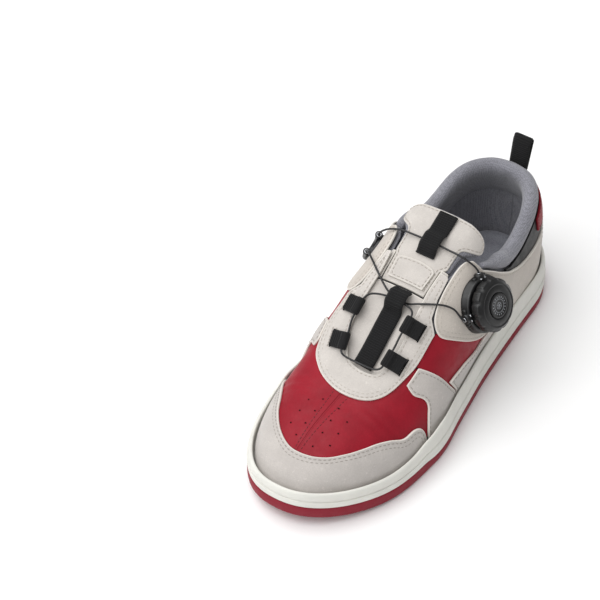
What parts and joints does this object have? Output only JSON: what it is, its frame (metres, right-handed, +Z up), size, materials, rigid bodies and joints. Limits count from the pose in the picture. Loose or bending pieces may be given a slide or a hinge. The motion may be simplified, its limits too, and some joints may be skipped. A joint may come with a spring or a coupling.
{
  "type": "bowling shoe",
  "caption": "Left low-cut bowling shoe with a cupped rubber sole, panelled suede and leather upper, padded collar and a turning dial that winds a wire lace.",
  "frame": {"origin": "on the ground plane under the middle of the sole", "axes": "+Z up, +Y from toe to heel, +X towards the lateral side"},
  "size_m": [0.1138, 0.2855, 0.1109],
  "materials": {
    "crimson_rubber": "matte moulded",
    "white_rubber": "matte moulded",
    "grey_suede": "suede nap",
    "pale_suede": "suede nap",
    "crimson_leather": "smooth, satin",
    "charcoal_leather": "smooth, satin",
    "grey_mesh": "padded spacer mesh",
    "black_webbing": "ribbed weave",
    "black_plastic": "satin",
    "steel": "brushed",
    "fibreboard": "pressed fibre",
    "stiffener": "moulded",
    "foam": "open-cell foam",
    "microfibre": "brushed",
    "lace_wire": "coated wire"
  },
  "bodies": {
    "shoe": {"outsole": "crimson_rubber", "midsole_cup": "white_rubber", "slide_pad": "microfibre", "toe_cap": "grey_suede", "saddle_lateral": "grey_suede", "saddle_medial": "grey_suede", "wing_lateral": "grey_suede", "wing_medial": "grey_suede", "heel_cover": "grey_suede", "eyestay": "pale_suede", "flap_lateral": "pale_suede", "flap_medial": "pale_suede", "tongue_gusset": "pale_suede", "vamp_lateral": "crimson_leather", "vamp_medial": "crimson_leather", "quarter_lateral": "crimson_leather", "quarter_medial": "crimson_leather", "heel_tab": "crimson_leather", "collar_panel_lateral": "charcoal_leather", "collar_panel_medial": "charcoal_leather", "vamp_lining": "grey_mesh", "quarter_lining_lateral": "grey_mesh", "quarter_lining_medial": "grey_mesh", "collar_roll": "grey_mesh", "sockliner": "grey_mesh", "insole_board": "fibreboard", "shank": "steel", "dial_screw": "steel", "toe_puff": "stiffener", "heel_counter": "stiffener", "throat_strap": "black_webbing", "lace_loop_lateral_low": "black_webbing", "lace_loop_lateral_high": "black_webbing", "lace_loop_medial_low": "black_webbing", "lace_loop_medial_high": "black_webbing", "pull_loop_leg": "black_webbing", "dial_housing": "black_plastic", "dial_backplate": "black_plastic", "lace_guide": "black_plastic", "lace": "lace_wire"},
    "tongue": {"tongue_skin": "pale_suede", "tongue_foam": "foam", "tongue_lining": "grey_mesh", "tongue_patch": "pale_suede", "tongue_loop": "black_webbing"},
    "pull_loop": {"heel_pull_loop": "black_webbing"},
    "spool": {"lace_spool": "black_plastic"},
    "drive": {"dial_drive": "black_plastic"},
    "knob": {"dial_knob": "black_plastic", "dial_cap": "black_plastic"}
  },
  "joints": [
    {"name": "dial_turn", "type": "hinge", "parent": "shoe", "child": "drive", "pos_m": [0.03935, 0.02144, 0.0732], "axis": [0.8876, -0.0828, 0.4531], "continuous": true},
    {"name": "dial_pull", "type": "slide", "parent": "drive", "child": "knob", "axis": [0.8876, -0.0828, 0.4531], "range_m": [0, 0.0025]},
    {"name": "spool_turn", "type": "hinge", "parent": "shoe", "child": "spool", "pos_m": [0.03935, 0.02144, 0.0732], "axis": [0.8876, -0.0828, 0.4531], "continuous": true},
    {"name": "tongue_tilt", "type": "hinge", "parent": "shoe", "child": "tongue", "pos_m": [0, -0.00605, 0.0855], "axis": [1, 0, 0], "range_deg": [-6, 30], "stiffness_Nm_per_rad": 0.6, "deforming": ["lace"]},
    {"name": "pull_loop_bend", "type": "hinge", "parent": "shoe", "child": "pull_loop", "pos_m": [0, 0.1338, 0.0821], "axis": [1, 0, 0], "range_deg": [-10, 12], "stiffness_Nm_per_rad": 0.05}
  ],
  "couplings": [
    {"joint": "spool_turn", "follows": "dial_turn", "ratio": 1}
  ]
}
